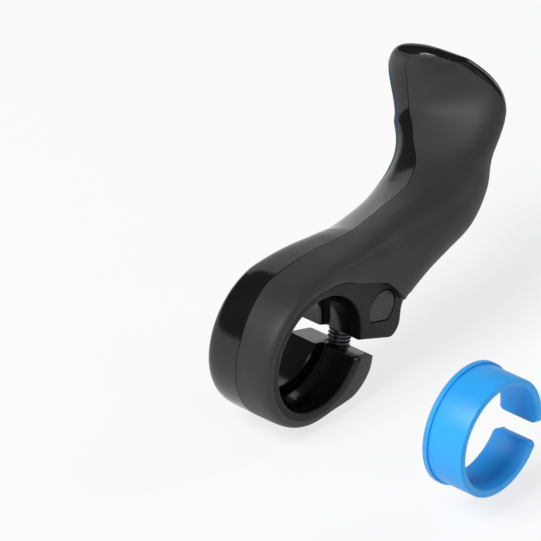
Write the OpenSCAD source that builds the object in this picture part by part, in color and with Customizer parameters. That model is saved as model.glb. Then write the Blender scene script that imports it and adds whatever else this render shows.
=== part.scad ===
// Inner bar end: a split clamp with a curved horn and a thumb paddle, and its reducing sleeve.
// Y runs along the handlebar, X towards the horn's reach and Z up. The origin is on the
// handlebar's axis, in the middle of the clamp's width. The clamp's front is its -Y side.
// The body and its soft parts are one sweep: it starts at the lower jaw, runs round the clamp's
// ring, and becomes the horn and the paddle.

/* [Handlebar and sleeve] */
// Diameter of the handlebar
bar_d = 22.2; // [21:0.1:23]
// Wall of the reducing sleeve
sleeve_wall = 1.6; // [1.2:0.1:2]
// Width of the sleeve along the bar, with its flange
sleeve_w = 9.6; // [8:0.2:11]
// Width of the sleeve's flange along the bar
flange_w = 1.2; // [0.8:0.1:2]
// How far the flange stands out from the sleeve
flange_h = 0.5; // [0.3:0.1:0.8]
// Width of the sleeve's open side
sleeve_gap = 4; // [3:0.2:8]
// How far in front of its seat the sleeve lies
sleeve_out = 47.6; // [20:0.2:80]

/* [Clamp] */
// Width of the clamp along the bar
clamp_w = 16.8; // [15:0.2:20]
// Wall of the clamp outside the sleeve
clamp_wall = 3.8; // [3.4:0.1:5]
// Turn of the clamp's slot below the horizontal
slot_tilt = 17; // [12:1:22]
// Width of the slot between the jaws, at the bore
slot_w = 3.9; // [2:0.1:5]
// Width of the slot at the upper jaw's toe
slot_end_w = 3.2; // [1.6:0.1:5]
// Distance from the bar's axis down to the middle of the slot
slot_drop = 0.65; // [0:0.05:1.5]
// Reach of the lower jaw from the bar's axis
jaw_reach = 19.5; // [18.5:0.1:21]
// Reach of the upper jaw's toe from the bar's axis
toe_reach = 24.5; // [23:0.1:26]

/* [Bolt and nut] */
// Effective diameter of the bolt's thread
thread_d = 4.5; // [4:0.1:5]
// Diameter of the bolt's head
head_d = 8.5; // [7.6:0.1:9]
// Height of the bolt's head
head_h = 5; // [3.5:0.1:5.4]
// Width across the flats of the head's socket
key_w = 4; // [3:0.5:5]
// Length of the bolt below its head
bolt_l = 18; // [16:0.5:20]
// Distance from the bar's axis to the bolt's axis
bolt_x = 16; // [15.6:0.1:16.6]
// Distance of the bolt in front of the middle of the clamp
bolt_y = 0.5; // [0:0.1:1.5]
// Diameter of the cross nut
nut_d = 8; // [7.6:0.1:8.4]
// Length of the cross nut
nut_l = 14; // [12:0.5:14.8]
// Distance from the bar's axis to the cross nut's axis, along the slot
nut_x = 17.6; // [17.2:0.1:18.2]
// Height of the cross nut's axis above the slot's middle plane
nut_rise = 8.6; // [8:0.1:9]
// Distance from the cross nut's axis to its flat
nut_flat = 3; // [2.6:0.1:3.4]

/* [Horn] */
// Reach of the horn from the bar's axis
horn_reach = 60; // [56:0.5:66]
// Height of the paddle's tip above the bar's axis
horn_rise = 38.8; // [36:0.2:44]
// How far the paddle's tip is swept to the back
horn_sweep = 15.5; // [13:0.5:18]
// Width of the horn at its fullest
horn_w = 24; // [22:0.2:26]
// Thickness of the horn at its fullest
horn_t = 15.2; // [13:0.2:16]
// Width of the neck below the paddle
neck_w = 21.2; // [19:0.2:23]
// Thickness of the neck
neck_t = 11.6; // [10:0.2:12.4]
// Width of the paddle
paddle_w = 25; // [24:0.2:28]
// Thickness of the paddle
paddle_t = 6; // [5:0.2:7]

/* [Soft parts] */
// Thickness of the soft cover
skin = 1.4; // [1:0.1:1.6]
// Depth of the back strip and the paddle pad
pad_t = 0.9; // [0.6:0.1:1.2]

/* [Hidden] */

half_w = clamp_w / 2;
// The clamp's front is made a little too far out and then faced flat
facing = 0.1;
face_w = half_w + facing / 2;
bar_r = bar_d / 2;
sleeve_r = bar_r + sleeve_wall;
seat_gap = 0.05;
seat_r = sleeve_r + seat_gap;
flange_r = sleeve_r + flange_h;
ring_r = seat_r + clamp_wall;
ring_in = 9;
groove_gap = 0.1;
seat_end = sleeve_w + groove_gap - half_w;
annulus = 1.65;
edge_round = 1.2;
sleeve_round = 1.3;
// A hair's breadth, and a length that reaches past the whole part
hair = 0.02;
far = 34;
smooth = 96;

slot_low = -slot_drop - slot_w / 2;
slot_top = slot_low + slot_w;
slot_end_top = slot_low + slot_end_w;
nut_z = nut_rise - slot_drop;
nut_gap = 0.15;
thread_gap = 0.02;
bolt_hole_r = 2.65;
head_seat = 7.6;
head_gap = 0.15;
toe_round = 3;
toe_sink = 0.1;

function unit(v) = v / norm(v);
function lerp(a, b, t) = a + (b - a) * t;

// Rows of the sweep: centre x, y and z, half width, half thickness, lean and squareness
tip_angle = -24.5;
ring_step = -12;
ring_count = 21;
jaw_rows = [[0, 0], [8, 0.9], [15, 1.2], [23, 0.7], [32, -0.8], [44, -2.4], [58, -3]];
function jaw_r(a) = max(jaw_reach + lookup(tip_angle - a, jaw_rows), ring_r);
function ring_row(a) = let (r = jaw_r(a))
    [(r + ring_in) / 2 * cos(a), -facing / 2, (r + ring_in) / 2 * sin(a), face_w, (r - ring_in) / 2, 0, 6];
ring_rows = [for (i = [0 : ring_count - 1]) ring_row(tip_angle + i * ring_step)];

// The upper jaw fans out from the ring
upper_jaw_rows = [
    [6, -facing / 2, 12, face_w, 5.2, -1, 4.8],
    [11.5, -0.4, 9.9, half_w + 0.2, 7.4, -1, 4.6],
    [16.5, -0.7, 8.5, half_w + 0.6, 8.5, -7, 4.2],
    [21, -0.7, 7.7, half_w + 1.5, 9, -13, 3.6],
];

// The horn: shares of its reach, sweep and rise, half width, half thickness, lean and squareness
horn_table = [
    [0.434, 0.022, 0.202, 11.2, 8.6, -19, 2.9],
    [0.534, 0.07, 0.219, 12, 8.2, -21, 2.5],
    [0.642, 0.079, 0.259, horn_w / 2, horn_t / 2, -16, 2.3],
    [0.742, 0.104, 0.308, horn_w / 2 - 0.3, 7.1, -8, 2.3],
    [0.842, 0.21, 0.38, 11.1, 6.3, -1, 2.3],
    [0.922, 0.361, 0.475, neck_w / 2, neck_t / 2, 6, 2.3],
    [1, 0.52, 0.644, paddle_w / 2, 4, 15.5, 2.3],
    [1, 0.802, 0.782, paddle_w / 2 - 0.9, paddle_t / 2, 20, 2.3],
    [0.98, 0.983, 0.91, 10.7, paddle_t / 2 - 0.5, 15, 2.3],
    [0.946, 1, 1, 9.6, paddle_t / 2 - 1.2, 13, 2.3],
];
horn_rows = [for (r = horn_table)
    [r[0] * horn_reach, r[1] * horn_sweep, r[2] * horn_rise, r[3], r[4], r[5], r[6]]];
rows = concat(ring_rows, upper_jaw_rows, horn_rows);
last = len(rows) - 1;
round_from = last - 3.5;
round_power = 2.3;
tip_step = 5.8;
// The nylon moulding is one piece, drawn as the clamp and the horn, which meet in this row's plane
horn_from = 26;

// One row between the given ones, on a smooth curve through them
function row_at(u) =
    let (i = max(0, min(floor(u), last - 1)), t = u - i,
         a = rows[max(i - 1, 0)], b = rows[i], c = rows[i + 1], d = rows[min(i + 2, last)])
    0.5 * (2 * b + (c - a) * t + (2 * a - 5 * b + 4 * c - d) * t * t + (3 * b - 3 * c + d - a) * t * t * t);
function centre(u) = let (r = row_at(u)) [r[0], r[1], r[2]];
function heading(u) = unit(centre(min(u + 0.8, last)) - centre(max(u - 0.8, 0)));
function across(u, h) =
    let (side = unit([0, 1, 0] - h * h[1]), lean = row_at(u)[5])
    side * cos(lean) + cross(h, side) * sin(lean);

// The outline narrows towards the paddle's tip, and its edge is round
function narrow(u) =
    let (v = max(0, (u - round_from) / (last - round_from))) pow(1 - pow(v, round_power), 1 / round_power);
function thin(u) = let (v = max(0, 1 - (last - u) * tip_step / (paddle_t / 2))) sqrt(1 - v * v);
function squared(a, n) = pow(pow(abs(cos(a)), n) + pow(abs(sin(a)), n), -1 / n);

// A place on the sweep's surface: row u, direction a round the section and depth below the surface
function place(u, a, depth) =
    let (r = row_at(u), h = heading(u), w = across(u, h), t = cross(h, w), k = squared(a, r[6]))
    [r[0], r[1], r[2]]
    + w * (max(r[3] * narrow(u) - depth, 0.1) * cos(a) * k)
    + t * (max(r[4] * thin(u) - depth, 0.1) * sin(a) * k);

// Edges of the soft cover, as row and direction, a direction of 90 degrees being the horn's top
cover_first = 0.35;
cover_last = 33.9;
cover_top = [[0, 90], [15, 90], [19, 80], [22, 81], [23.4, 87], [24.9, 97], [25.8, 99], [27.5, 91],
             [28.75, 78], [29.6, 69], [30.3, 60], [31, 54], [32.2, 62], [33.1, 72], [33.6, 66], [34, 50]];
cover_low = [[18, 156], [20, 155], [20.6, 159], [21.6, 164], [22.6, 172], [23.6, 184], [24, 204], [24.4, 230],
             [25, 256], [26, 266], [29.5, 266], [30.2, 256], [30.5, 232], [30.9, 176], [31.2, 161], [31.6, 152],
             [32.5, 152], [33.3, 158], [34, 172]];
function jaw_low(u) =
    let (r = jaw_r(tip_angle + u * ring_step), q = (r - ring_in) / 2)
    180 - atan((seat_r + annulus - ring_in - q) / q);
function low_edge(u) = u < 18 ? jaw_low(u) : lookup(u, cover_low);

// Edges of the back strip and the paddle pad
strip_first = 22.5;
strip_last = 33.1;
strip_top = [[22, 385], [24, 402], [27, 403], [30, 400], [31, 404], [33.2, 396]];
strip_low = [[22, 372], [24, 344], [27, 340], [30, 336], [33.2, 342]];
pad_first = 30.95;
pad_last = 33.35;
pad_low = [[30.2, 284], [30.6, 270], [31.2, 242], [31.5, 233], [32.2, 217], [32.6, 211], [33.1, 215],
           [33.3, 232], [33.4, 244]];
pad_top = [[30.2, 290], [30.6, 282], [31.2, 280], [31.5, 285], [32.2, 294], [32.6, 292], [33, 276],
           [33.3, 256], [33.4, 248]];
pad_proud = 0.1;

// A pocket's walls lean, so that its floor is a little narrower and shorter than its mouth
draft = 0.9;
end_wall = 0.06;
function inside(u, first, final, depth) = u >= first && u <= final ? depth : 0;
// The section's bands, each with its two edges, its depth and its number of steps
function cover_band(u) =
    [lookup(u, cover_top), low_edge(u), inside(u, cover_first, cover_last, skin * thin(u)), 12];
function pad_band(u) =
    [lookup(u, pad_low), lookup(u, pad_top), inside(u, pad_first, pad_last, pad_t), 6];
function strip_band(u) =
    [lookup(u, strip_low), lookup(u, strip_top), inside(u, strip_first, strip_last, pad_t), 5];
function bare_band(from, to, steps) = [from[1] + draft, to[0] - draft, 0, steps];
function floor_band(band) = [band[0] + draft, band[1] - draft, band[2], band[3]];
function mouth_band(band) = [band[0] - draft, band[1] + draft, 0, band[3]];
function bands(u) =
    let (cover = cover_band(u), pad = pad_band(u), strip = strip_band(u))
    [floor_band(cover), bare_band(cover, pad, 4), floor_band(pad), bare_band(pad, strip, 5), floor_band(strip),
     bare_band(strip, [cover[0] + 360], 4)];
function band_points(u, band, depth) =
    [for (j = [0 : band[3]]) place(u, lerp(band[0], band[1], j / band[3]), depth)];
function body_loop(u) = [for (band = bands(u)) each band_points(u, band, band[2])];
function reversed(points) = [for (i = [len(points) - 1 : -1 : 0]) points[i]];
function soft_loop(u, band, proud) = concat(
    band_points(u, mouth_band(band), -proud),
    reversed(band_points(u, floor_band(band), band[2])));

// Stations of the sweep, closer together where the edges turn and where the tip rounds off
function sorted(v) = len(v) < 2 ? v : let (p = v[floor(len(v) / 2)])
    concat(sorted([for (x = v) if (x < p) x]), [p], sorted([for (x = v) if (x > p) x]));
ring_stations = [for (u = [0 : 1 : 19]) u];
horn_stations = [for (u = [20 : 0.5 : 30]) u];
turn_stations = [for (u = [23.75 : 0.25 : 25.25]) u, 30.2, 30.35, for (u = [30.5 : 0.08 : 30.9]) u];
tip_stations = [for (b = [4 : 7 : 81]) lerp(round_from, last, sin(b))];
step_stations = [for (u = [cover_first, strip_first, pad_first]) each [u - end_wall, u],
    for (u = [cover_last, strip_last, pad_last]) each [u, u + end_wall]];
function clear_of_steps(u) = min([for (step = step_stations) abs(step - u)]) > end_wall / 2;
free_stations = concat(ring_stations, horn_stations, turn_stations, tip_stations);
plain_stations = [for (u = free_stations) if (clear_of_steps(u)) u];
stations = sorted(concat(plain_stations, step_stations));
function between(first, final) = [for (u = stations) if (u >= first && u <= final) u];

// Two triangles for the corners a, b, c and d of a patch, split along its shorter diagonal
function patch(a, b, c, d, points) =
    norm(points[a] - points[c]) < norm(points[b] - points[d]) ? [[a, b, c], [a, c, d]] : [[a, b, d], [b, c, d]];

module loft(loops) {
    n = len(loops[0]);
    m = len(loops);
    points = [for (loop = loops) each loop];
    polyhedron(
        points = points,
        faces = concat(
            [[for (j = [0 : n - 1]) j]],
            [for (i = [0 : m - 2]) for (j = [0 : n - 1]) let (k = (j + 1) % n)
                each patch(i * n + j, (i + 1) * n + j, (i + 1) * n + k, i * n + k, points)],
            [[for (j = [n - 1 : -1 : 0]) (m - 1) * n + j]]));
}

// A cylinder on the bar's axis between two places along it
module on_bar(r, from, to) {
    translate([0, to, 0]) rotate([90, 0, 0]) cylinder(r = r, h = to - from, $fn = smooth);
}

// Turns children into the clamp's frame, whose X runs along the slot
module clamp_frame() {
    rotate([0, slot_tilt, 0]) children();
}

// Extrudes a profile drawn in X and Z backwards from the given place along the bar
module along_bar(from, length) {
    translate([0, from + length, 0]) rotate([90, 0, 0]) linear_extrude(length) children();
}

// Extrudes a profile drawn in Y and Z along the slot
module along_slot(from, length) {
    translate([from, 0, 0]) rotate([90, 0, 90]) linear_extrude(length) children();
}

// A cylinder on the bolt's axis between two heights in the clamp's frame
module on_bolt(r, from, to) {
    clamp_frame() translate([bolt_x, -bolt_y, from]) cylinder(r = r, h = to - from, $fn = smooth);
}

// What is left of a square corner outside its rounding, with the corner at the origin
module corner_waste(r) {
    difference() {
        translate([-1, -1]) square(r + 1);
        translate([r, r]) circle(r = r, $fn = smooth);
        translate([r - hair, -2]) square([2, r + 4]);
        translate([-2, r - hair]) square([r + 4, 2]);
    }
}

module slot() {
    slot_in = 6;
    slot_out = 32;
    taper = (slot_end_top - slot_top) / (toe_reach - toe_round - seat_r);
    clamp_frame() along_bar(-clamp_w, 2 * clamp_w) polygon([
        [slot_in, slot_low],
        [slot_out, slot_low],
        [slot_out, slot_top + taper * (slot_out - seat_r)],
        [slot_in, slot_top + taper * (slot_in - seat_r)]]);
}

// Everything in front of the clamp's flat side, over an outline of it
module in_front(outline) {
    trim = 6;
    along_bar(-half_w - trim, trim) polygon(outline);
}

// The flat side is the ring's whole front, and the upper jaw's inside this outline
module front_trim() {
    in_front([[-far, -far], [-far, far], [0, far], [0, 14.6], [3.2, 14.3], [10.2, 12.4], [15.9, 10.1],
        [21.8, 7.4], [24.4, 5.6], [25.4, 2.7], [25.3, -0.5], [toe_reach + 0.5, -far]]);
}

// The soft cover's front edge is flush with the flat side on the ring and the lower jaw only
module cover_trim() {
    in_front([[-far, -far], [-far, far], [0, far], [0, 0], [far, -far * tan(slot_tilt)], [far, -far]]);
}

// The upper jaw ends in a blunt toe with a round corner
module toe() {
    toe_x = toe_reach - toe_round;
    clamp_frame() along_bar(-half_w - facing, clamp_w - 1.1) hull() {
        translate([bar_r - 1, slot_top + toe_round - 1]) circle(r = toe_round, $fn = 32);
        translate([toe_x, slot_end_top + toe_round - toe_sink]) circle(r = toe_round, $fn = 32);
        translate([toe_x - 1, nut_z + 1]) circle(r = toe_round, $fn = 32);
        translate([nut_x, nut_z + 2]) circle(r = toe_round, $fn = 32);
    }
}

module nut_profile(grow) {
    r = nut_d / 2 + grow;
    translate([nut_x, nut_z]) intersection() {
        circle(r = r, $fn = smooth);
        translate([-r, -nut_flat - grow]) square([2 * r, nut_flat + grow + r]);
    }
}

module head_room(gap) {
    on_bolt(head_d / 2 + gap, -head_seat - 8, -head_seat);
}

module bolt_room() {
    on_bolt(bolt_hole_r, -head_seat - 1, nut_z);
    head_room(head_gap);
}

module body() {
    color("#1b1c1e") difference() {
        union() {
            loft([for (u = between(0, horn_from)) body_loop(u)]);
            toe();
        }
        front_trim();
        on_bar(bar_r, -clamp_w, clamp_w);
        on_bar(seat_r, -clamp_w, seat_end);
        on_bar(flange_r + groove_gap, seat_end - flange_w - groove_gap, seat_end);
        slot();
        clamp_frame() along_bar(-half_w - 1, nut_l + 1 + nut_gap) nut_profile(nut_gap);
        bolt_room();
        clamp_frame() along_slot(seat_r - 3, 16)
            translate([-half_w, slot_low]) mirror([0, 1]) corner_waste(edge_round);
    }
}

module horn() {
    color("#1b1c1e") loft([for (u = between(horn_from, last)) body_loop(u)]);
}

module grip_cover() {
    color("#3a3b3d") difference() {
        loft([for (u = between(cover_first, cover_last)) soft_loop(u, cover_band(u), 0)]);
        cover_trim();
        toe();
        head_room(2 * head_gap);
        slot();
    }
}

module back_strip() {
    color("#4a4c50") loft([for (u = between(strip_first, strip_last)) soft_loop(u, strip_band(u), pad_proud)]);
}

module paddle_pad() {
    color("#4a4c50") loft([for (u = between(pad_first, pad_last)) soft_loop(u, pad_band(u), pad_proud)]);
}

module cross_nut() {
    color("#5a5c60") difference() {
        clamp_frame() along_bar(-half_w, nut_l) nut_profile(0);
        on_bolt(thread_d / 2 + thread_gap, nut_z - nut_d, nut_z + nut_d);
    }
}

module clamp_bolt() {
    socket_deep = head_h / 2;
    bevel = 0.5;
    color("#2a2a2c") difference() {
        union() {
            on_bolt(thread_d / 2, -head_seat - 1, bolt_l - head_seat);
            on_bolt(head_d / 2, bevel - head_seat - head_h, -head_seat);
            clamp_frame() translate([bolt_x, -bolt_y, -head_seat - head_h])
                cylinder(r1 = head_d / 2 - bevel, r2 = head_d / 2, h = bevel, $fn = smooth);
        }
        clamp_frame() translate([bolt_x, -bolt_y, -head_seat - head_h - 1])
            cylinder(r = key_w / 2 / cos(30), h = socket_deep + 1, $fn = 6);
    }
}

// The sleeve's open side, with round corners at both ends of the cut
module sleeve_cut() {
    front = -half_w - sleeve_out;
    edges = sleeve_gap / 2;
    clamp_frame() along_slot(0, 2 * sleeve_r) translate([0, -slot_drop]) {
        translate([front - 1, -edges]) square([sleeve_w + 2, sleeve_gap]);
        for (side = [0, 1]) mirror([0, side]) {
            translate([front, edges]) corner_waste(sleeve_round);
            translate([front + sleeve_w, edges]) mirror([1, 0]) corner_waste(sleeve_round);
        }
    }
}

module reducing_sleeve() {
    front = -half_w - sleeve_out;
    back = front + sleeve_w;
    color("#2fb2f2") difference() {
        union() {
            on_bar(sleeve_r, front, back);
            on_bar(flange_r, back - flange_w, back);
        }
        on_bar(bar_r, front - 1, back + 1);
        sleeve_cut();
    }
}

body();
horn();
grip_cover();
back_strip();
paddle_pad();
cross_nut();
clamp_bolt();
reducing_sleeve();
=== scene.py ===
"""The looks of an inner bar end: a split clamp with a curved horn and a thumb paddle, and its
reducing sleeve. Lengths are in millimetres until a mesh is made, and Y runs along the handlebar."""
import math

import bmesh
import bpy
import numpy as np
from mathutils import Matrix, Vector


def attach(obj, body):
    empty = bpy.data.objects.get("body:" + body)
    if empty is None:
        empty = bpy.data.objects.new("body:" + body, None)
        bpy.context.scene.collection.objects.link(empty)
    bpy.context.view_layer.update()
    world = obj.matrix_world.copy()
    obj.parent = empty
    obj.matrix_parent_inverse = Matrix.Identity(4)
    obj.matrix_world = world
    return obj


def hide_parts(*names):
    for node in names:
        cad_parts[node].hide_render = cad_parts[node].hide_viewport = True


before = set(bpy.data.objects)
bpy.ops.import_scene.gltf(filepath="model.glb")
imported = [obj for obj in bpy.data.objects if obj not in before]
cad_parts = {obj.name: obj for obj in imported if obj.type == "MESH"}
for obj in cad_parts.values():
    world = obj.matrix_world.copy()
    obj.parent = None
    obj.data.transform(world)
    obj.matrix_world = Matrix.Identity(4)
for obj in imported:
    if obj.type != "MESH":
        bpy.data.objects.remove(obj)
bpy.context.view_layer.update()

MM = 0.001

# Sizes, the same as the solids'
BAR_R = 11.1
SLEEVE_R = 12.7
SEAT_R = 12.75
FLANGE_R = 13.2
HALF_W = 8.4
RING_R = 16.55
RING_IN = 9.0
SEAT_END = 1.3
FLANGE_W = 1.2
GROOVE_GAP = 0.1
ANNULUS = 1.65
SLOT_TILT = math.radians(17)
SLOT_LOW = -2.6
SLOT_TOP = 1.3
SLOT_END_TOP = 0.6
NUT_X = 17.6
NUT_Z = 7.95
NUT_R = 4.0
NUT_FLAT = 3.0
NUT_L = 14.0
NUT_GAP = 0.15
BOLT_X = 16.0
BOLT_Y = -0.5
HEAD_SEAT = -7.6
HEAD_R = 4.25
HEAD_H = 5.0
HEAD_GAP = 0.15
BOLT_L = 18.0
BOLT_HOLE_R = 2.65
SLEEVE_W = 9.6
SLEEVE_FRONT = -56.0
SLEEVE_GAP = 4.0
SKIN = 1.4
PAD_T = 0.9
PAD_PROUD = 0.1
TOE_ROUND = 3.0
TOE_X = 21.5
TOE_SKIN = 0.7
TOE_BLEND = 5.0
JAW_END = 19.55
JAW_ROUND = 2.4

# The sweep
TIP_ANGLE = -24.5
RING_STEP = -12.0
JAW = np.array([[0, 0], [8, 0.9], [15, 1.2], [23, 0.7], [32, -0.8], [44, -2.4], [58, -3]], float)


def jaw_r(a):
    return np.maximum(19.5 + np.interp(TIP_ANGLE - a, JAW[:, 0], JAW[:, 1]), RING_R)


def ring_row(a):
    r = jaw_r(a)
    turn = math.radians(a)
    mid = (r + RING_IN) / 2
    return [mid * math.cos(turn), -0.05, mid * math.sin(turn), HALF_W + 0.05, (r - RING_IN) / 2, 0, 6]


ROWS = np.array(
    [ring_row(TIP_ANGLE + i * RING_STEP) for i in range(21)]
    + [
        [6, -0.05, 12, 8.45, 5.2, -1, 4.8],
        [11.5, -0.4, 9.9, 8.6, 7.4, -1, 4.6],
        [16.5, -0.7, 8.5, 9, 8.5, -7, 4.2],
        [21, -0.7, 7.7, 9.9, 9, -13, 3.6],
    ]
    + [
        [r[0] * 60, r[1] * 15.5, r[2] * 38.8, r[3], r[4], r[5], r[6]]
        for r in [
            [0.434, 0.022, 0.202, 11.2, 8.6, -19, 2.9],
            [0.534, 0.07, 0.219, 12, 8.2, -21, 2.5],
            [0.642, 0.079, 0.259, 12, 7.6, -16, 2.3],
            [0.742, 0.104, 0.308, 11.7, 7.1, -8, 2.3],
            [0.842, 0.21, 0.38, 11.1, 6.3, -1, 2.3],
            [0.922, 0.361, 0.475, 10.6, 5.8, 6, 2.3],
            [1, 0.52, 0.644, 12.5, 4, 15.5, 2.3],
            [1, 0.802, 0.782, 11.6, 3, 20, 2.3],
            [0.98, 0.983, 0.91, 10.7, 2.5, 15, 2.3],
            [0.946, 1, 1, 9.6, 1.8, 13, 2.3],
        ]
    ],
    float,
)
LAST = len(ROWS) - 1
ROUND_FROM = LAST - 3.5
ROUND_POWER = 2.3
TIP_STEP = 5.8
TIP_RADIUS = 3.0


def row_at(u):
    u = np.asarray(u, float)
    i = np.clip(np.floor(u).astype(int), 0, LAST - 1)
    t = (u - i)[:, None]
    a, b, c, d = ROWS[np.maximum(i - 1, 0)], ROWS[i], ROWS[i + 1], ROWS[np.minimum(i + 2, LAST)]
    return 0.5 * (2 * b + (c - a) * t + (2 * a - 5 * b + 4 * c - d) * t**2 + (3 * b - 3 * c + d - a) * t**3)


def unit(v):
    return v / np.linalg.norm(v, axis=-1, keepdims=True)


def section(u):
    """Centre, back direction, outer direction, half width, half thickness and squareness."""
    r = row_at(u)
    h = unit(row_at(np.minimum(u + 0.8, LAST))[:, :3] - row_at(np.maximum(u - 0.8, 0))[:, :3])
    side = unit(np.array([0, 1.0, 0]) - h * h[:, 1:2])
    lean = np.radians(r[:, 5:6])
    w = side * np.cos(lean) + np.cross(h, side) * np.sin(lean)
    v = np.clip((u - ROUND_FROM) / (LAST - ROUND_FROM), 0, 1)
    narrow = (1 - v**ROUND_POWER) ** (1 / ROUND_POWER)
    e = np.clip(1 - (LAST - u) * TIP_STEP / TIP_RADIUS, 0, 1)
    thin = np.sqrt(1 - e**2)
    return r[:, :3], w, np.cross(h, w), r[:, 3] * narrow, r[:, 4] * thin, r[:, 6]


def place(u, a, depth):
    """Points of the sweep: rows u (m), directions a in degrees (m, n) and depths (m, n)."""
    c, w, t, half_w, half_t, n = section(u)
    a = np.radians(a)
    n = n[:, None]
    k = (np.abs(np.cos(a)) ** n + np.abs(np.sin(a)) ** n) ** (-1 / n)
    x = np.maximum(half_w[:, None] - depth, 0.1) * np.cos(a) * k
    z = np.maximum(half_t[:, None] - depth, 0.1) * np.sin(a) * k
    return c[:, None] + w[:, None] * x[..., None] + t[:, None] * z[..., None]


def speed(u, a):
    """Millimetres of surface per degree at row u and direction a."""
    a = a[:, None]
    d = place(u, a + 0.5, 0 * a) - place(u, a - 0.5, 0 * a)
    return np.maximum(np.linalg.norm(d[:, 0], axis=-1), 0.02)


def smooth_table(table, spread=0.16):
    """A table of row and direction as a curve without corners."""
    table = np.array(table, float)
    grid = np.arange(-1, LAST + 1, 0.02)
    values = np.interp(grid, table[:, 0], table[:, 1])
    steps = np.arange(-40, 41) * 0.02
    weights = np.exp(-0.5 * (steps / spread) ** 2)
    padded = np.pad(values, 40, mode="edge")
    return grid, np.convolve(padded, weights / weights.sum(), mode="valid")


def at(table, u):
    return np.interp(u, table[0], table[1])


# Edges of the soft parts, as row and direction
def jaw_low(u):
    r = jaw_r(TIP_ANGLE + u * RING_STEP)
    q = (r - RING_IN) / 2
    return 180 - np.degrees(np.arctan((SEAT_R + ANNULUS - RING_IN - q) / q))


COVER_FIRST, COVER_LAST = 0.1, 33.84
COVER_TOP = smooth_table(
    [[0, 90], [15, 90], [19, 80], [22, 81], [23.4, 87], [24.9, 97], [25.8, 99], [27.5, 91], [28.75, 78],
     [29.6, 69], [30.3, 59], [31, 53], [31.5, 54], [32.2, 61], [32.7, 69], [33.2, 71], [33.55, 74], [33.9, 92]])
COVER_LOW = smooth_table(
    [[u, float(jaw_low(u))] for u in np.arange(0, 18, 0.5)]
    + [[18, 156], [20, 155], [20.6, 159], [21.6, 164], [22.6, 172], [23.6, 184], [24, 204], [24.4, 230],
       [25, 256], [26, 266], [29.5, 266], [30.2, 256], [30.5, 232], [30.9, 176], [31.2, 161], [31.6, 152],
       [32.5, 152], [33, 158], [33.5, 161], [33.7, 157], [33.9, 138]], 0.13)
STRIP_FIRST, STRIP_LAST = 22.5, 33.1


def round_ends(low, high, first, final, reach_first, reach_final):
    """Both edges of a band, drawn together over the last rows at its ends."""
    rows, middle, half = low[0], (low[1] + high[1]) / 2, (high[1] - low[1]) / 2
    t = np.clip(1 - np.minimum((rows - first) / reach_first, (final - rows) / reach_final), 0, 1)
    half = half * (0.25 + 0.75 * np.sqrt(1 - t**2))
    return (rows, middle - half), (rows, middle + half)


STRIP_TOP = smooth_table([[22, 385], [24, 398], [27, 396], [30, 391], [31, 394], [33.2, 388]], 0.4)
STRIP_LOW = smooth_table([[22, 372], [24, 344], [27, 340], [30, 336], [33.2, 342]], 0.4)
STRIP_LOW, STRIP_TOP = round_ends(STRIP_LOW, STRIP_TOP, STRIP_FIRST, STRIP_LAST, 0.8, 0.8)
PAD_FIRST, PAD_LAST = 30.85, 33.35
PAD_LOW = smooth_table(
    [[30.2, 284], [30.6, 270], [31.2, 242], [31.5, 233], [32.2, 217], [32.6, 211], [33.1, 215], [33.3, 232],
     [33.4, 244]], 0.1)
PAD_TOP = smooth_table(
    [[30.2, 290], [30.6, 282], [31.2, 280], [31.5, 285], [32.2, 294], [32.6, 292], [33, 276], [33.3, 256],
     [33.4, 248]], 0.1)
PAD_LOW, PAD_TOP = round_ends(PAD_LOW, PAD_TOP, PAD_FIRST, PAD_LAST, 0.45, 0.01)


# Meshes
def new_object(name, points, faces):
    mesh = bpy.data.meshes.new(name)
    mesh.from_pydata((np.asarray(points) * MM).tolist(), [], [list(map(int, f)) for f in faces])
    mesh.validate()
    mesh.update()
    obj = bpy.data.objects.new(name, mesh)
    bpy.context.scene.collection.objects.link(obj)
    return obj


def loft(name, loops):
    """A closed solid through rings of points (m, n, 3)."""
    m, n = loops.shape[:2]
    i = np.arange(m - 1)[:, None] * n
    j = np.arange(n)[None]
    k = (j + 1) % n
    quads = np.stack([i + j, i + n + j, i + n + k, i + k], -1).reshape(-1, 4)
    faces = list(quads) + [list(range(n)), list(range(m * n - 1, (m - 1) * n - 1, -1))]
    return new_object(name, loops.reshape(-1, 3), faces)


def turned(name, profile, sides=256):
    """A solid turned round the bar's axis from a closed profile of radius and place along the bar."""
    profile = np.array(profile, float)
    a = np.arange(sides) * 2 * math.pi / sides
    r, y = profile[:, 0], profile[:, 1]
    pts = np.stack([np.outer(np.cos(a), r), np.tile(y, (sides, 1)), np.outer(np.sin(a), r)], -1)
    m, n = pts.shape[:2]
    i = np.arange(m)[:, None]
    j = np.arange(n)[None]
    k = (j + 1) % n
    i2 = (i + 1) % m
    quads = np.stack([i * n + j, i * n + k, i2 * n + k, i2 * n + j], -1).reshape(-1, 4)
    return new_object(name, pts.reshape(-1, 3), quads)


def prism(name, outline, start, end):
    """A solid from an outline in X and Z, between two places along the bar."""
    outline = np.array(outline, float)
    n = len(outline)
    lo = np.stack([outline[:, 0], np.full(n, start), outline[:, 1]], -1)
    hi = lo + [0, end - start, 0]
    quads = [[j, (j + 1) % n, n + (j + 1) % n, n + j] for j in range(n)]
    return new_object(name, np.concatenate([lo, hi]), quads + [list(range(n))[::-1], list(range(n, 2 * n))])


def outward(obj):
    """Turns the faces of a closed mesh outwards."""
    bm = bmesh.new()
    bm.from_mesh(obj.data)
    bmesh.ops.recalc_face_normals(bm, faces=bm.faces)
    if bm.calc_volume(signed=True) < 0:
        bmesh.ops.reverse_faces(bm, faces=bm.faces)
    bm.to_mesh(obj.data)
    bm.free()
    return obj


def tilt(obj):
    """Puts a mesh drawn in the clamp's frame into the part's."""
    obj.data.transform(Matrix.Rotation(SLOT_TILT, 4, "Y"))
    return obj


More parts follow.
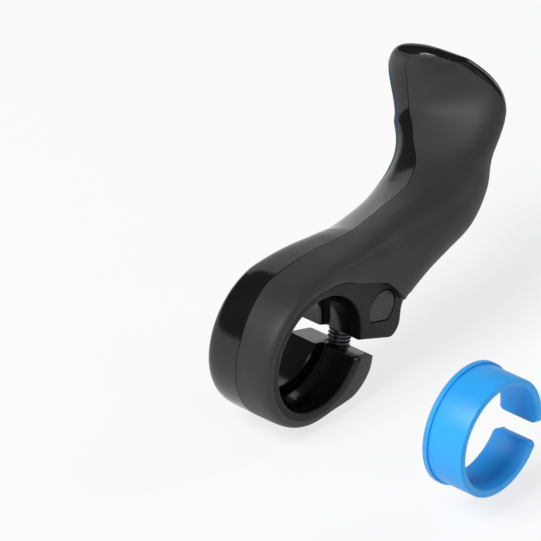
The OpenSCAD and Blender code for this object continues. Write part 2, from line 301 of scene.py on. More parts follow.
def combine(obj, cutter, operation="DIFFERENCE"):
    outward(cutter)
    mod = obj.modifiers.new("cut", "BOOLEAN")
    mod.operation = operation
    mod.object = cutter
    mod.solver = "MANIFOLD"
    depsgraph = bpy.context.evaluated_depsgraph_get()
    mesh = bpy.data.meshes.new_from_object(obj.evaluated_get(depsgraph))
    obj.modifiers.clear()
    old = obj.data
    obj.data = mesh
    bpy.data.meshes.remove(old)
    bpy.data.objects.remove(cutter)
    return obj


def finish_mesh(obj, angle=32):
    """Smooth shading with sharp edges where faces meet at more than the angle."""
    mesh = obj.data
    mesh.polygons.foreach_set("use_smooth", [True] * len(mesh.polygons))
    mesh.set_sharp_from_angle(angle=math.radians(angle))
    mesh.update()
    return obj


# Stations and bands
def rounded(distance, radius):
    """How far a rounded edge lies below the surface at a distance from it."""
    x = np.clip(1 - distance / radius, 0, 1)
    return radius * (1 - np.sqrt(np.maximum(1 - x**2, 0)))


def stations():
    ring = np.arange(0, 20, 0.125)
    horn = np.arange(20, ROUND_FROM, 0.07)
    turn = np.arange(23.6, 25.2, 0.035)
    tip = ROUND_FROM + (LAST - ROUND_FROM) * np.sin(np.radians(np.arange(1, 85.5, 1.2)))
    ends = []
    for u in (COVER_FIRST, STRIP_FIRST, PAD_FIRST):
        ends += [u - 0.012, u] + [u + d for d in (0.02, 0.05, 0.1, 0.16)]
    for u in (COVER_LAST, STRIP_LAST, PAD_LAST):
        ends += [u + 0.006, u] + [u - d for d in (0.01, 0.03, 0.06, 0.1, 0.16)]
    plain = np.concatenate([ring, horn, turn, tip])
    ends = np.array(ends)
    keep = np.abs(plain[:, None] - ends[None]).min(1) > 0.012
    return np.unique(np.round(np.concatenate([plain[keep], ends]), 5))


U = stations()


def along(u):
    """Length of the centre line up to each row."""
    fine = np.arange(0, LAST + 0.001, 0.01)
    c = row_at(fine)[:, :3]
    run = np.concatenate([[0], np.cumsum(np.linalg.norm(np.diff(c, axis=0), axis=1))])
    return np.interp(u, fine, run)


EDGE_OUT = np.array([0.4, 0.2, 0.09, 0.03])
EDGE_IN = np.array([0.03, 0.08, 0.16, 0.28, 0.45, 0.7, 1.0])


def within(u, first, final):
    return ((u >= first - 1e-6) & (u <= final + 1e-6)).astype(float)[:, None]


def body_band(u, low, high, first, final, depth, steps, radius=0.06):
    """Angles and depths across one pocket, with the nylon's rounded lips on both sides."""
    s_low, s_high = speed(u, low)[:, None], speed(u, high)[:, None]
    inside = within(u, first, final)
    lips_low = low[:, None] - EDGE_OUT / s_low
    lips_high = high[:, None] + EDGE_OUT[::-1] / s_high
    lip = rounded(EDGE_OUT, radius)
    inner = low[:, None] + (high - low)[:, None] * np.linspace(0, 1, steps)
    angles = np.concatenate([lips_low, inner, lips_high], 1)
    depths = np.concatenate(
        [inside * lip, inside * depth * np.ones_like(inner), inside * lip[::-1]], 1)
    return angles, depths


def gap_band(u, start, end, steps):
    """Angles of the bare nylon between two pockets."""
    t = (np.arange(steps) + 0.5) / steps
    return start[:, None] + (end - start)[:, None] * t, np.zeros((len(u), steps))


def body_loops(u):
    cover = body_band(u, at(COVER_TOP, u), at(COVER_LOW, u), COVER_FIRST, COVER_LAST, SKIN + 0.02, 60)
    pad = body_band(u, at(PAD_LOW, u), at(PAD_TOP, u), PAD_FIRST, PAD_LAST, PAD_T + 0.02, 24)
    strip = body_band(u, at(STRIP_LOW, u), at(STRIP_TOP, u), STRIP_FIRST, STRIP_LAST, PAD_T + 0.02, 24)
    a1 = gap_band(u, cover[0][:, -1], pad[0][:, 0], 12)
    a2 = gap_band(u, pad[0][:, -1], strip[0][:, 0], 16)
    a3 = gap_band(u, strip[0][:, -1], cover[0][:, 0] + 360, 14)
    parts = [cover, a1, pad, a2, strip, a3]
    return place(u, np.concatenate([p[0] for p in parts], 1), np.concatenate([p[1] for p in parts], 1))


def soft_loops(low, high, first, final, depth, proud, steps, radius_low, radius_high, end_radius):
    """A soft part with rounded edges: its outer skin, then its floor back again."""
    u = U[(U >= first - 1e-6) & (U <= final + 1e-6)]
    lo, hi = at(low, u), at(high, u)
    s_lo, s_hi = speed(u, lo)[:, None], speed(u, hi)[:, None]
    mid = lo[:, None] + (hi - lo)[:, None] * np.linspace(0.12, 0.88, steps)
    start = np.minimum(lo[:, None] + EDGE_IN / s_lo, mid[:, :1] - 0.01 * EDGE_IN[::-1])
    finish = np.maximum(hi[:, None] - EDGE_IN[::-1] / s_hi, mid[:, -1:] + 0.01 * EDGE_IN)
    a = np.concatenate([start, mid, finish], 1)
    run = along(u)
    end = np.minimum(run - along(np.array([first]))[0], along(np.array([final]))[0] - run)
    d_lo = (a - lo[:, None]) * s_lo
    d_hi = (hi[:, None] - a) * s_hi
    edge = np.maximum(rounded(d_lo, radius_low(u)[:, None]), rounded(d_hi, radius_high(u)[:, None]))
    edge = np.maximum(edge, rounded(end, end_radius)[:, None])
    limit = depth(u)[:, None]
    top = np.minimum(edge, limit * 0.9) - proud
    floor_a = lo[:, None] + (hi - lo)[:, None] * np.linspace(0.998, 0.002, steps // 2)
    floor_d = np.ones_like(floor_a) * limit
    return np.concatenate([place(u, a, top), place(u, floor_a, floor_d)], 1)


def same(value):
    return lambda u: np.full(len(u), float(value))


def cover_depth(u):
    e = np.clip(1 - (LAST - u) * TIP_STEP / TIP_RADIUS, 0, 1)
    return SKIN * np.sqrt(1 - e**2)


def cover_low_radius(u):
    """The cover's front edge is rounder where it stands proud of the clamp's flat side."""
    return np.interp(u, [20.3, 21.5, 24.5, 25.2], [0.25, 0.4, 0.4, 0.25])


# Cutters in the clamp's frame
def circle(cx, cz, r, sides=48):
    a = np.arange(sides) * 2 * math.pi / sides
    return np.stack([cx + r * np.cos(a), cz + r * np.sin(a)], -1)


def hull(points):
    pts = sorted(map(tuple, np.round(points, 6)))

    def chain(seq):
        out = []
        for p in seq:
            while len(out) > 1:
                (ax, az), (bx, bz) = out[-2], out[-1]
                if (bx - ax) * (p[1] - az) - (bz - az) * (p[0] - ax) > 0:
                    break
                out.pop()
            out.append(p)
        return out[:-1]

    return np.array(chain(pts) + chain(pts[::-1]))


def ring_of(cx, cy, r, z, sides=96):
    a = np.arange(sides) * 2 * math.pi / sides
    return np.stack([cx + r * np.cos(a), cy + r * np.sin(a), np.full(sides, z)], -1)


def on_bolt(name, profile, sides=96):
    """A solid turned round the bolt's axis, from radius and height in the clamp's frame."""
    loops = np.array([ring_of(BOLT_X, BOLT_Y, r, z, sides) for r, z in profile])
    return tilt(outward(loft(name, loops)))


def toe_outline(grow=0.0):
    circles = [
        (BAR_R - 1, SLOT_TOP + TOE_ROUND - 1),
        (TOE_X, SLOT_END_TOP + TOE_ROUND - 0.1),
        (TOE_X - 1, NUT_Z + 1),
        (NUT_X, NUT_Z + 2),
    ]
    return hull(np.concatenate([circle(x, z, TOE_ROUND + grow) for x, z in circles]))


def slot_outline():
    taper = (SLOT_END_TOP - SLOT_TOP) / (TOE_X - SEAT_R)
    reach = SEAT_R
    return [[6, SLOT_LOW], [32, SLOT_LOW], [32, SLOT_TOP + taper * (32 - reach)], [6, SLOT_TOP + taper * (6 - reach)]]


def nut_outline(grow, sides=96):
    r = NUT_R + grow
    flat = -NUT_FLAT - grow
    a0 = math.asin(flat / r)
    a = np.linspace(a0, math.pi - a0, sides)
    return np.stack([NUT_X + r * np.cos(a), NUT_Z + r * np.sin(a)], -1)


def corner_waste(r, sides=12):
    """What is left of a square corner outside its rounding, with the corner at the origin."""
    a = np.linspace(math.pi, 1.5 * math.pi, sides)
    arc = np.stack([r + r * np.cos(a), r + r * np.sin(a)], -1)
    return np.concatenate([[[-0.6, -0.6], [-0.6, r + 0.002]], arc, [[r + 0.002, -0.6]]])


def along_slot(name, outline, start, end, slope=0.0):
    """A solid from an outline in Y and Z, along the slot, in the clamp's frame."""
    outline = np.array(outline, float)
    n = len(outline)
    lo = np.stack([np.full(n, start), outline[:, 0], outline[:, 1]], -1)
    hi = lo + [end - start, 0, slope * (end - start)]
    quads = [[j, (j + 1) % n, n + (j + 1) % n, n + j] for j in range(n)]
    return tilt(new_object(name, np.concatenate([lo, hi]), quads + [list(range(n))[::-1], list(range(n, 2 * n))]))


def softened(points, rounds=3):
    """An open line of points with its corners cut until it reads as a curve."""
    points = np.array(points, float)
    for _ in range(rounds):
        near = 0.75 * points[:-1] + 0.25 * points[1:]
        far = 0.25 * points[:-1] + 0.75 * points[1:]
        points = np.concatenate([points[:1], np.stack([near, far], 1).reshape(-1, 2), points[-1:]])
    return points.tolist()


FAR = 34
FLAT_EDGE = [[0, 14.7], [3.4, 14.3], [10, 12.5], [16, 10.3], [21.6, 8.6], [24.8, 6.6], [25.6, 3], [25.3, -0.5]]
FLAT = [[-FAR, -FAR], [-FAR, FAR], [0, FAR]] + softened(FLAT_EDGE) + [[25, -FAR]]
COVER_FLAT = [[-FAR, -FAR], [-FAR, FAR], [0, FAR], [0, 0], [FAR, -FAR * math.tan(SLOT_TILT)], [FAR, -FAR]]


def toe_edge():
    """What the rounding takes off the toe's lower front edge."""
    taper = (SLOT_END_TOP - SLOT_TOP) / (TOE_X - SEAT_R)
    high = corner_waste(0.8) + [-HALF_W, SLOT_TOP - 3 * taper]
    return along_slot("toe_edge", high, SEAT_R - 3, 28, taper)


def jaw_corner():
    """What the rounding takes off the lower jaw's end."""
    lean = math.radians(7.1)
    top = math.pi / 2
    arc = np.linspace(top, lean, 16)
    reach = JAW_ROUND / math.tan((math.pi / 2 + lean) / 2)
    centre = [JAW_END - reach, SLOT_LOW - JAW_ROUND]
    curve = [[centre[0] + JAW_ROUND * math.cos(t), centre[1] + JAW_ROUND * math.sin(t)] for t in arc]
    outline = curve + [[JAW_END + 2, curve[-1][1]], [JAW_END + 2, SLOT_LOW + 1], [curve[0][0], SLOT_LOW + 1]]
    return tilt(prism("jaw_corner", outline, -20, 20))


# The body
def make_body():
    body = outward(loft("bar_end_body", body_loops(U)))
    combine(body, tilt(prism("toe", toe_outline(), -HALF_W - 0.1, HALF_W - 1.1)), "UNION")
    combine(body, prism("flat", FLAT, -HALF_W - 6, -HALF_W))
    mouth = 0.35
    combine(body, turned("bores", [
        [0.01, -20], [SEAT_R + mouth, -20], [SEAT_R + mouth, -HALF_W],
        [SEAT_R + mouth * 0.3, -HALF_W + mouth * 0.3], [SEAT_R, -HALF_W + mouth],
        [SEAT_R, SEAT_END - FLANGE_W - GROOVE_GAP], [FLANGE_R + GROOVE_GAP, SEAT_END - FLANGE_W - GROOVE_GAP],
        [FLANGE_R + GROOVE_GAP, SEAT_END], [BAR_R + 0.3, SEAT_END], [BAR_R, SEAT_END + 0.3],
        [BAR_R, HALF_W - 0.5], [BAR_R + 0.6, HALF_W + 0.1], [BAR_R + 0.6, 20], [0.01, 20]]))
    combine(body, tilt(prism("slot", slot_outline(), -20, 20)))
    combine(body, tilt(prism("nut_room", nut_outline(NUT_GAP), -20, -HALF_W + NUT_L + NUT_GAP)))
    combine(body, on_bolt("bolt_hole", [[BOLT_HOLE_R, HEAD_SEAT - 1], [BOLT_HOLE_R, NUT_Z]]))
    combine(body, on_bolt("head_room", [[HEAD_R + HEAD_GAP, HEAD_SEAT - 8], [HEAD_R + HEAD_GAP, HEAD_SEAT]]))
    low = corner_waste(1.2) * [1, -1] + [-HALF_W, SLOT_LOW]
    combine(body, along_slot("jaw_edge", low, SEAT_R - 3, 28))
    combine(body, toe_edge())
    combine(body, jaw_corner())
    return finish_mesh(body, 30)


def under_horn(pieces, x, y):
    """How high the horn's underside is over a place beside the toe, in the clamp's frame."""
    turn = Matrix.Rotation(SLOT_TILT, 4, "Y")
    start = turn @ Vector((x, y, SLOT_TOP)) * MM
    heights = []
    for piece in pieces:
        found, spot, _, _ = piece.ray_cast(start, turn @ Vector((0, 0, 1)))
        if found:
            heights.append((spot - start).length / MM)
    return SLOT_TOP + min(heights)


def make_toe_skin(body, cover):
    """The rubber down the toe's outer side, which runs into the horn's underside in one curve."""
    bpy.context.view_layer.update()
    front, rear = -HALF_W + 0.02, HALF_W - 1.1
    turn = np.radians(np.arange(4, 91, 9))
    lead = TOE_SKIN * (1 - np.cos(turn))
    places = np.concatenate([front + lead, np.linspace(front + TOE_SKIN, rear - TOE_SKIN, 22)[1:-1], rear - lead[::-1]])
    low = np.array([TOE_X, SLOT_END_TOP + TOE_ROUND - 0.1])
    side = unit(np.array([-1, NUT_Z + 1]) - np.array([0, low[1]]))
    out = np.array([side[1], -side[0]])
    loops = []
    for y in places:
        d = min(y - front, rear - y, TOE_SKIN) / TOE_SKIN
        r = TOE_ROUND + TOE_SKIN * math.sqrt(max(1 - (1 - d) ** 2, 0.001))
        near, away = 25.6, 28.6
        z1, z2 = under_horn([body, cover], near, y), under_horn([body, cover], away, y)
        horn = unit(np.array([away - near, z2 - z1]))
        middle = low + [0, r - TOE_ROUND]
        start = middle + out * r
        k = np.linalg.solve(np.stack([side, -horn], 1), np.array([near, z1]) - start)
        corner = start + side * k[0]
        half = math.acos(float(np.clip(-side @ horn, -1, 1))) / 2
        bend = min(TOE_BLEND, 0.95 * k[0] * math.tan(half))
        first = corner - side * bend / math.tan(half)
        centre = first + out * bend
        above = np.array([-horn[1], horn[0]])
        a0 = math.atan2(-out[1], -out[0]) % (2 * math.pi)
        a1 = math.atan2(above[1], above[0]) % (2 * math.pi)
        blend = [centre + bend * np.array([math.cos(a), math.sin(a)]) for a in np.linspace(a0, a1, 14)]
        a_side = math.atan2(out[1], out[0])
        below = [middle + r * np.array([math.cos(a), math.sin(a)]) for a in np.linspace(math.radians(-88), a_side, 16)]
        inner = low + out * (TOE_ROUND - 0.4)
        back = [blend[-1] + above * 0.8, corner + side * 1.5 - out * 0.4, inner + side * k[0], inner,
                low + (TOE_ROUND - 0.4) * np.array([0.05, -0.99])]
        loop = np.array(below + blend + back)
        loops.append(np.stack([loop[:, 0], np.full(len(loop), y), loop[:, 1]], -1))
    return tilt(outward(loft("toe_skin", np.array(loops))))


def make_cover(body):
    loops = soft_loops(COVER_TOP, COVER_LOW, COVER_FIRST, COVER_LAST, cover_depth, 0.0, 60,
                       same(0.22), cover_low_radius, 0.3)
    cover = outward(loft("soft_grip_cover", loops))
    combine(cover, prism("flat", COVER_FLAT, -HALF_W - 6, -HALF_W))
    combine(cover, tilt(prism("toe", toe_outline(0.02), -HALF_W - 0.12, HALF_W - 1.1)))
    combine(cover, make_toe_skin(body, cover), "UNION")
    combine(cover, on_bolt("head_room", [[HEAD_R + 0.3, HEAD_SEAT - 8], [HEAD_R + 0.3, HEAD_SEAT]]))
    combine(cover, on_bolt("bolt_hole", [[BOLT_HOLE_R, HEAD_SEAT - 1], [BOLT_HOLE_R, NUT_Z]]))
    combine(cover, toe_edge())
    combine(cover, jaw_corner())
    combine(cover, tilt(prism("slot", slot_outline(), -20, 20)))
    return finish_mesh(cover, 35)


def make_pad(name, low, high, first, final, steps, radius):
    loops = soft_loops(low, high, first, final, same(PAD_T), PAD_PROUD, steps, same(radius), same(radius), radius)
    return finish_mesh(outward(loft(name, loops)), 40)


# The blue edging
def tube(name, path, radius, sides=10):
    """A closed round bead along a closed path of points."""
    ahead = np.roll(path, -1, 0) - np.roll(path, 1, 0)
    t = unit(ahead)
    ref = unit(np.cross(t, [0.3, 0.2, 0.93]))
    up = np.cross(ref, t)
    a = np.arange(sides) * 2 * math.pi / sides
    rings = path[:, None] + radius * (ref[:, None] * np.cos(a)[None, :, None] + up[:, None] * np.sin(a)[None, :, None])
    m = len(path)
    i = np.arange(m)[:, None]
    j = np.arange(sides)[None]
    k = (j + 1) % sides
    i2 = (i + 1) % m
    quads = np.stack([i * sides + j, i * sides + k, i2 * sides + k, i2 * sides + j], -1).reshape(-1, 4)
    return new_object(name, rings.reshape(-1, 3), quads)


def make_edging():
    u = np.arange(STRIP_FIRST, STRIP_LAST + 0.001, 0.05)
    top, low = at(STRIP_TOP, u), at(STRIP_LOW, u)
    sunk = 0.12
    one = place(u, top[:, None], np.full((len(u), 1), sunk))[:, 0]
    two = place(u, low[:, None], np.full((len(u), 1), sunk))[:, 0]
    end_a = np.linspace(top[-1], low[-1], 14)[1:-1]
    start_a = np.linspace(low[0], top[0], 8)[1:-1]
    end = place(np.full(len(end_a), STRIP_LAST), end_a[:, None], np.full((len(end_a), 1), sunk))[:, 0]
    start = place(np.full(len(start_a), STRIP_FIRST), start_a[:, None], np.full((len(start_a), 1), sunk))[:, 0]
    path = np.concatenate([one, end, two[::-1], start])
    for _ in range(4):
        path = (np.roll(path, 1, 0) + 2 * path + np.roll(path, -1, 0)) / 4
    return finish_mesh(outward(tube("blue_edging", path, 0.2)), 60)


# Nut, bolt and sleeve
def make_nut():
    bevel = 0.25
    outer = nut_outline(0)
    centre = np.array([NUT_X, NUT_Z + 0.5])
    inner = centre + (outer - centre) * (1 - bevel / NUT_R)
    levels = [(inner, -HALF_W), (outer, -HALF_W + bevel), (outer, -HALF_W + NUT_L - bevel), (inner, -HALF_W + NUT_L)]
    loops = np.array([np.stack([o[:, 0], np.full(len(o), y), o[:, 1]], -1) for o, y in levels])
    nut = tilt(outward(loft("cross_nut_face", loops)))
    combine(nut, on_bolt("tapped", [[2.27, NUT_Z - 8], [2.27, NUT_Z + 8]]))
    return finish_mesh(nut, 30)


def make_thread():
    """The thread's ridge, a closed bead that winds up the screw."""
    pitch = 0.8
    per_turn = 40
    turns = (BOLT_L - 2.2) / pitch
    k = np.arange(int(turns * per_turn) + 1) / per_turn
    a = 2 * math.pi * k
    crest = 2.48 - 0.4 * np.clip((k - turns + 0.6) / 0.6, 0, 1) - 0.4 * np.clip((0.5 - k) / 0.5, 0, 1)
    shape = [(0 * k + 1.95, 0.0), (crest, 0.33), (crest, 0.43), (0 * k + 1.95, 0.76)]
    loops = np.stack([
        np.stack([BOLT_X + r * np.cos(a), BOLT_Y + r * np.sin(a), HEAD_SEAT + 1.0 + k * pitch + h], -1)
        for r, h in shape], 1)
    return finish_mesh(tilt(outward(loft("clamp_bolt_thread", loops))), 25)


def make_screw():
    bevel = 0.5
    top = HEAD_SEAT + BOLT_L
    bottom = HEAD_SEAT - HEAD_H
    key_r = 2.0 / math.cos(math.radians(30))
    deep = bottom + HEAD_H / 2
    profile = [[HEAD_R - bevel, bottom], [HEAD_R - 0.15, bottom + bevel * 0.45], [HEAD_R, bottom + bevel * 1.1],
               [HEAD_R, HEAD_SEAT - 0.1], [HEAD_R - 0.1, HEAD_SEAT], [2.1, HEAD_SEAT + 0.001], [2.1, top - 0.9],
               [1.6, top]]
    screw = on_bolt("clamp_bolt_screw", profile)
    a = np.arange(6) * math.pi / 3
    key = np.array([np.stack([BOLT_X + key_r * np.cos(a), BOLT_Y + key_r * np.sin(a), np.full(6, z)], -1)
                    for z in (bottom - 2, deep)])
    combine(screw, tilt(outward(loft("key", key))))
    return finish_mesh(screw, 30)


def make_sleeve():
    front, back = SLEEVE_FRONT, SLEEVE_FRONT + SLEEVE_W
    e = 0.18
    sleeve = turned("reducing_sleeve_shell", [
        [BAR_R + e, front], [SLEEVE_R - e, front], [SLEEVE_R - e * 0.3, front + e * 0.3], [SLEEVE_R, front + e],
        [SLEEVE_R, back - FLANGE_W], [FLANGE_R - e * 0.5, back - FLANGE_W], [FLANGE_R, back - FLANGE_W + e * 0.5],
        [FLANGE_R, back - e], [FLANGE_R - e, back], [BAR_R + e, back], [BAR_R, back - e], [BAR_R, front + e],
        [BAR_R + e * 0.3, front + e * 0.3]])
    outward(sleeve)
    mid = -0.65
    half = SLEEVE_GAP / 2
    r = 1.3
    a = np.linspace(0, math.pi / 2, 12)
    lo, hi = front, back
    outline = [[lo - 1, mid + half + r]] + [[lo + r - r * math.cos(t), mid + half + r - r * math.sin(t)] for t in a]
    outline += [[hi - r + r * math.sin(t), mid + half + r - r * math.cos(t)] for t in a]
    outline += [[hi + 1, mid + half + r], [hi + 1, mid - half - r]]
    outline += [[hi - r + r * math.cos(t), mid - half - r + r * math.sin(t)] for t in a]
    outline += [[lo + r - r * math.sin(t), mid - half - r + r * math.cos(t)] for t in a]
    outline += [[lo - 1, mid - half - r]]
    combine(sleeve, along_slot("gap", outline, 0.5, 20))
    return finish_mesh(sleeve, 30)


# Materials
def material(name):
    mat = bpy.data.materials.new(name)
    mat.use_nodes = True
    return mat, mat.node_tree.nodes, mat.node_tree.links, mat.node_tree.nodes["Principled BSDF"]


def noise(nodes, links, coords, scale, detail=3.0, rough=0.55):
    """Noise in the piece's own metres."""
    tex = nodes.new("ShaderNodeTexNoise")
    tex.inputs["Scale"].default_value = scale
    tex.inputs["Detail"].default_value = detail
    tex.inputs["Roughness"].default_value = rough
    links.new(coords, tex.inputs["Vector"])
    return tex.outputs["Fac"]


def spread_of(nodes, links, value, low, high):
    node = nodes.new("ShaderNodeMapRange")
    node.inputs["From Min"].default_value = 0.3
    node.inputs["From Max"].default_value = 0.7
    node.inputs["To Min"].default_value = low
    node.inputs["To Max"].default_value = high
    links.new(value, node.inputs["Value"])
    return node.outputs["Result"]


def two_tones(nodes, links, value, dark, light):
    ramp = nodes.new("ShaderNodeValToRGB")
    ramp.color_ramp.elements[0].position = 0.3
    ramp.color_ramp.elements[0].color = (*dark, 1)
    ramp.color_ramp.elements[1].position = 0.7
    ramp.color_ramp.elements[1].color = (*light, 1)
    links.new(value, ramp.inputs["Fac"])
    return ramp.outputs["Color"]


def bumped(nodes, links, shader, heights):
    """Bumps on top of each other: heights and how deep each is, in metres."""
    last = None
    for height, depth in heights:
        bump = nodes.new("ShaderNodeBump")
        bump.inputs["Strength"].default_value = 1.0
        bump.inputs["Distance"].default_value = depth
        links.new(height, bump.inputs["Height"])
        if last:
            links.new(last, bump.inputs["Normal"])
        last = bump.outputs["Normal"]
    links.new(last, shader.inputs["Normal"])


def make_nylon():
    mat, nodes, links, shader = material("black_nylon")
    coords = nodes.new("ShaderNodeTexCoord").outputs["Object"]
    slow = noise(nodes, links, coords, 90.0, 2.0)
    fine = noise(nodes, links, coords, 2600.0, 3.0)
    links.new(two_tones(nodes, links, slow, (0.0045, 0.0046, 0.005), (0.007, 0.0071, 0.0075)), shader.inputs["Base Color"])
    links.new(spread_of(nodes, links, slow, 0.12, 0.17), shader.inputs["Roughness"])
    bumped(nodes, links, shader, [(slow, 0.00003), (fine, 0.000002)])
    return mat


def make_matt_nylon():
    """The same nylon on the clamp's flat side, where the mould is eroded to a dull grain."""
    mat, nodes, links, shader = material("matt_nylon")
    coords = nodes.new("ShaderNodeTexCoord").outputs["Object"]
    fine = noise(nodes, links, coords, 2600.0, 3.0)
    links.new(two_tones(nodes, links, fine, (0.008, 0.0081, 0.0084), (0.011, 0.0111, 0.0114)), shader.inputs["Base Color"])
    links.new(spread_of(nodes, links, fine, 0.52, 0.6), shader.inputs["Roughness"])
    shader.inputs["Specular IOR Level"].default_value = 0.22
    bumped(nodes, links, shader, [(fine, 0.0000035)])
    return mat


def make_rubber(name, dark, light, rough, grain, depth):
    mat, nodes, links, shader = material(name)
    coords = nodes.new("ShaderNodeTexCoord").outputs["Object"]
    slow = noise(nodes, links, coords, 70.0, 2.0)
    fine = noise(nodes, links, coords, grain, 4.0, 0.6)
    links.new(two_tones(nodes, links, slow, dark, light), shader.inputs["Base Color"])
    links.new(spread_of(nodes, links, fine, rough - 0.05, rough + 0.05), shader.inputs["Roughness"])
    shader.inputs["Specular IOR Level"].default_value = 0.4
    shader.inputs["Sheen Weight"].default_value = 0.04
    shader.inputs["Sheen Roughness"].default_value = 0.5
    bumped(nodes, links, shader, [(fine, depth)])
    return mat


def make_metal(name, dark, light, rough, metallic, depth):
    mat, nodes, links, shader = material(name)
    coords = nodes.new("ShaderNodeTexCoord").outputs["Object"]
    slow = noise(nodes, links, coords, 300.0, 3.0)
    fine = noise(nodes, links, coords, 5200.0, 4.0, 0.65)
    links.new(two_tones(nodes, links, slow, dark, light), shader.inputs["Base Color"])
    links.new(spread_of(nodes, links, fine, rough - 0.06, rough + 0.06), shader.inputs["Roughness"])
    shader.inputs["Metallic"].default_value = metallic
    bumped(nodes, links, shader, [(fine, depth)])
    return mat


def make_blue(name, dark, light, rough):
    mat, nodes, links, shader = material(name)
    coords = nodes.new("ShaderNodeTexCoord").outputs["Object"]
    slow = noise(nodes, links, coords, 120.0, 2.0)
    fine = noise(nodes, links, coords, 3000.0, 3.0)
    links.new(two_tones(nodes, links, slow, dark, light), shader.inputs["Base Color"])
    links.new(spread_of(nodes, links, fine, rough - 0.04, rough + 0.04), shader.inputs["Roughness"])
    shader.inputs["Specular IOR Level"].default_value = 0.35
    bumped(nodes, links, shader, [(slow, 0.00002), (fine, 0.000002)])
    return mat


NYLON = make_nylon()
MATT = make_matt_nylon()
RUBBER = make_rubber("soft_cover_rubber", (0.0205, 0.0207, 0.0212), (0.0255, 0.0257, 0.0262), 0.56, 2400.0, 0.000006)
PAD = make_rubber("soft_pad_rubber", (0.03, 0.0303, 0.0312), (0.037, 0.0373, 0.0382), 0.66, 1500.0, 0.00001)
NUT = make_metal("dark_anodised", (0.036, 0.036, 0.038), (0.046, 0.046, 0.048), 0.46, 0.7, 0.000003)
STEEL = make_metal("black_oxide_steel", (0.07, 0.07, 0.073), (0.12, 0.12, 0.124), 0.34, 1.0, 0.000004)
BLUE = make_blue("light_blue_nylon", (0.024, 0.36, 0.86), (0.03, 0.4, 0.93), 0.4)
EDGE_BLUE = make_blue("blue_trim", (0.004, 0.045, 0.12), (0.006, 0.056, 0.145), 0.45)

# The pieces
BODY = make_body()
PIECES = [
    (BODY, NYLON, "body", ["body", "horn"]),
    (make_cover(BODY), RUBBER, "soft_cover", ["grip_cover"]),
    (make_pad("thumb_pad", PAD_LOW, PAD_TOP, PAD_FIRST, PAD_LAST, 30, 0.35), PAD, "soft_pad", ["paddle_pad"]),
    (make_pad("rear_strip", STRIP_LOW, STRIP_TOP, STRIP_FIRST, STRIP_LAST, 30, 0.3), PAD, "soft_pad", ["back_strip"]),
    (make_edging(), EDGE_BLUE, "sleeve", []),
    (make_nut(), NUT, "nut", ["cross_nut"]),
    (make_thread(), STEEL, "bolt", ["clamp_bolt"]),
    (make_screw(), STEEL, "bolt", ["clamp_bolt"]),
    (make_sleeve(), BLUE, "sleeve", ["reducing_sleeve"]),
]
for piece, mat, finish, nodes in PIECES:
    piece.data.materials.clear()
    piece.data.materials.append(mat)
    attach(piece, "root")
    if nodes:
        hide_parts(*nodes)
BODY.data.materials.append(MATT)
for face in BODY.data.polygons:
    if face.normal.y < -0.3 and face.center.y < (-HALF_W + 0.4) * MM:
        face.material_index = 1

# The floor, the lamps and the world
def make_floor():
    z = -18.2 * MM
    side = 3.0
    mesh = bpy.data.meshes.new("floor")
    mesh.from_pydata([(-side, -side, z), (side, -side, z), (side, side, z), (-side, side, z)], [], [[0, 1, 2, 3]])
    floor = bpy.data.objects.new("floor", mesh)
    bpy.context.scene.collection.objects.link(floor)
    mat, nodes, links, shader = material("pale_floor")
    coords = nodes.new("ShaderNodeTexCoord").outputs["Object"]
    slow = noise(nodes, links, coords, 3.0, 2.0)
    links.new(two_tones(nodes, links, slow, (0.9, 0.9, 0.9), (0.92, 0.92, 0.92)), shader.inputs["Base Color"])
    shader.inputs["Roughness"].default_value = 0.9
    shader.inputs["Specular IOR Level"].default_value = 0.0
    rays = nodes.new("ShaderNodeLightPath")
    seen = rays.outputs["Is Camera Ray"]
    for kind in ("Is Glossy Ray", "Is Transmission Ray"):
        either = nodes.new("ShaderNodeMath")
        either.operation = "MAXIMUM"
        links.new(seen, either.inputs[0])
        links.new(rays.outputs[kind], either.inputs[1])
        seen = either.outputs["Value"]
    away = nodes.new("ShaderNodeVectorMath")
    away.operation = "LENGTH"
    links.new(coords, away.inputs[0])
    fade = nodes.new("ShaderNodeMapRange")
    fade.inputs["From Min"].default_value = 0.25
    fade.inputs["From Max"].default_value = 0.7
    fade.inputs["To Min"].default_value = 0.75
    fade.inputs["To Max"].default_value = 1.0
    links.new(away.outputs["Value"], fade.inputs["Value"])
    share = nodes.new("ShaderNodeMath")
    share.operation = "MULTIPLY"
    links.new(fade.outputs["Result"], share.inputs[1])
    links.new(seen, share.inputs[0])
    white = nodes.new("ShaderNodeEmission")
    white.inputs["Color"].default_value = (1, 1, 1, 1)
    white.inputs["Strength"].default_value = 1.0
    mix = nodes.new("ShaderNodeMixShader")
    links.new(share.outputs["Value"], mix.inputs["Fac"])
    links.new(shader.outputs["BSDF"], mix.inputs[1])
    links.new(white.outputs["Emission"], mix.inputs[2])
    links.new(mix.outputs["Shader"], nodes["Material Output"].inputs["Surface"])
    mesh.materials.append(mat)


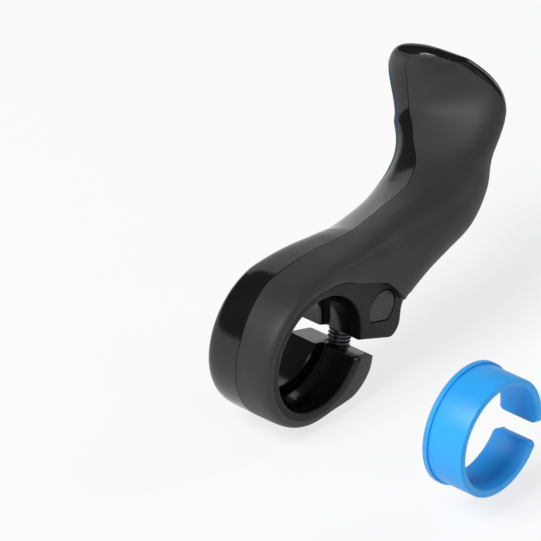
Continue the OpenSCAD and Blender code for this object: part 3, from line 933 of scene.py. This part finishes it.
def area(name, place_mm, aim_mm, width, height, watts):
    data = bpy.data.lights.new(name, "AREA")
    data.shape = "RECTANGLE"
    data.size, data.size_y = width, height
    data.energy = watts
    lamp = bpy.data.objects.new(name, data)
    lamp.location = Vector(place_mm) * MM
    lamp.rotation_mode = "QUATERNION"
    lamp.rotation_quaternion = (Vector(aim_mm) - Vector(place_mm)).to_track_quat("-Z", "Y")
    bpy.context.scene.collection.objects.link(lamp)


def make_world():
    """White along the horizon, and a dim ceiling above it."""
    world = bpy.data.worlds.new("studio")
    bpy.context.scene.world = world
    world.use_nodes = True
    nodes, links = world.node_tree.nodes, world.node_tree.links
    coords = nodes.new("ShaderNodeTexCoord")
    apart = nodes.new("ShaderNodeSeparateXYZ")
    links.new(coords.outputs["Generated"], apart.inputs["Vector"])
    ramp = nodes.new("ShaderNodeValToRGB")
    ramp.color_ramp.elements[0].position = 0.08
    ramp.color_ramp.elements[0].color = (1, 1, 1, 1)
    ramp.color_ramp.elements[1].position = 0.2
    ramp.color_ramp.elements[1].color = (0.1, 0.1, 0.1, 1)
    links.new(apart.outputs["Z"], ramp.inputs["Fac"])
    back = nodes["Background"]
    links.new(ramp.outputs["Color"], back.inputs["Color"])
    back.inputs["Strength"].default_value = 1.0


def make_camera():
    right = Vector((0.66, -0.751, 0)).normalized()
    back = Vector((-0.643, -0.565, 0.517)).normalized()
    up = back.cross(right).normalized()
    centre = Vector((0, -HALF_W, 0)) - right * 10.12 + up * 17.2
    data = bpy.data.cameras.new("camera")
    data.lens = 426.0
    data.sensor_width = 36.0
    data.clip_start, data.clip_end = 0.1, 20.0
    camera = bpy.data.objects.new("camera", data)
    camera.matrix_world = Matrix.Translation((centre + back * 1300) * MM) @ Matrix(
        (right, up, back)).transposed().to_4x4()
    bpy.context.scene.collection.objects.link(camera)
    bpy.context.scene.camera = camera


make_floor()
make_world()
make_camera()
area("key", (-1300, 100, 1500), (20, -10, 5), 1.0, 1.0, 38)
area("front", (-300, -1800, 700), (20, -10, 5), 0.8, 0.8, 3)
area("right", (1500, -500, 900), (20, -10, 5), 0.5, 1.0, 6)
area("rear", (1130, 1310, 810), (20, -10, 5), 1.2, 1.2, 3.6)
bpy.context.scene.view_settings.view_transform = "Standard"
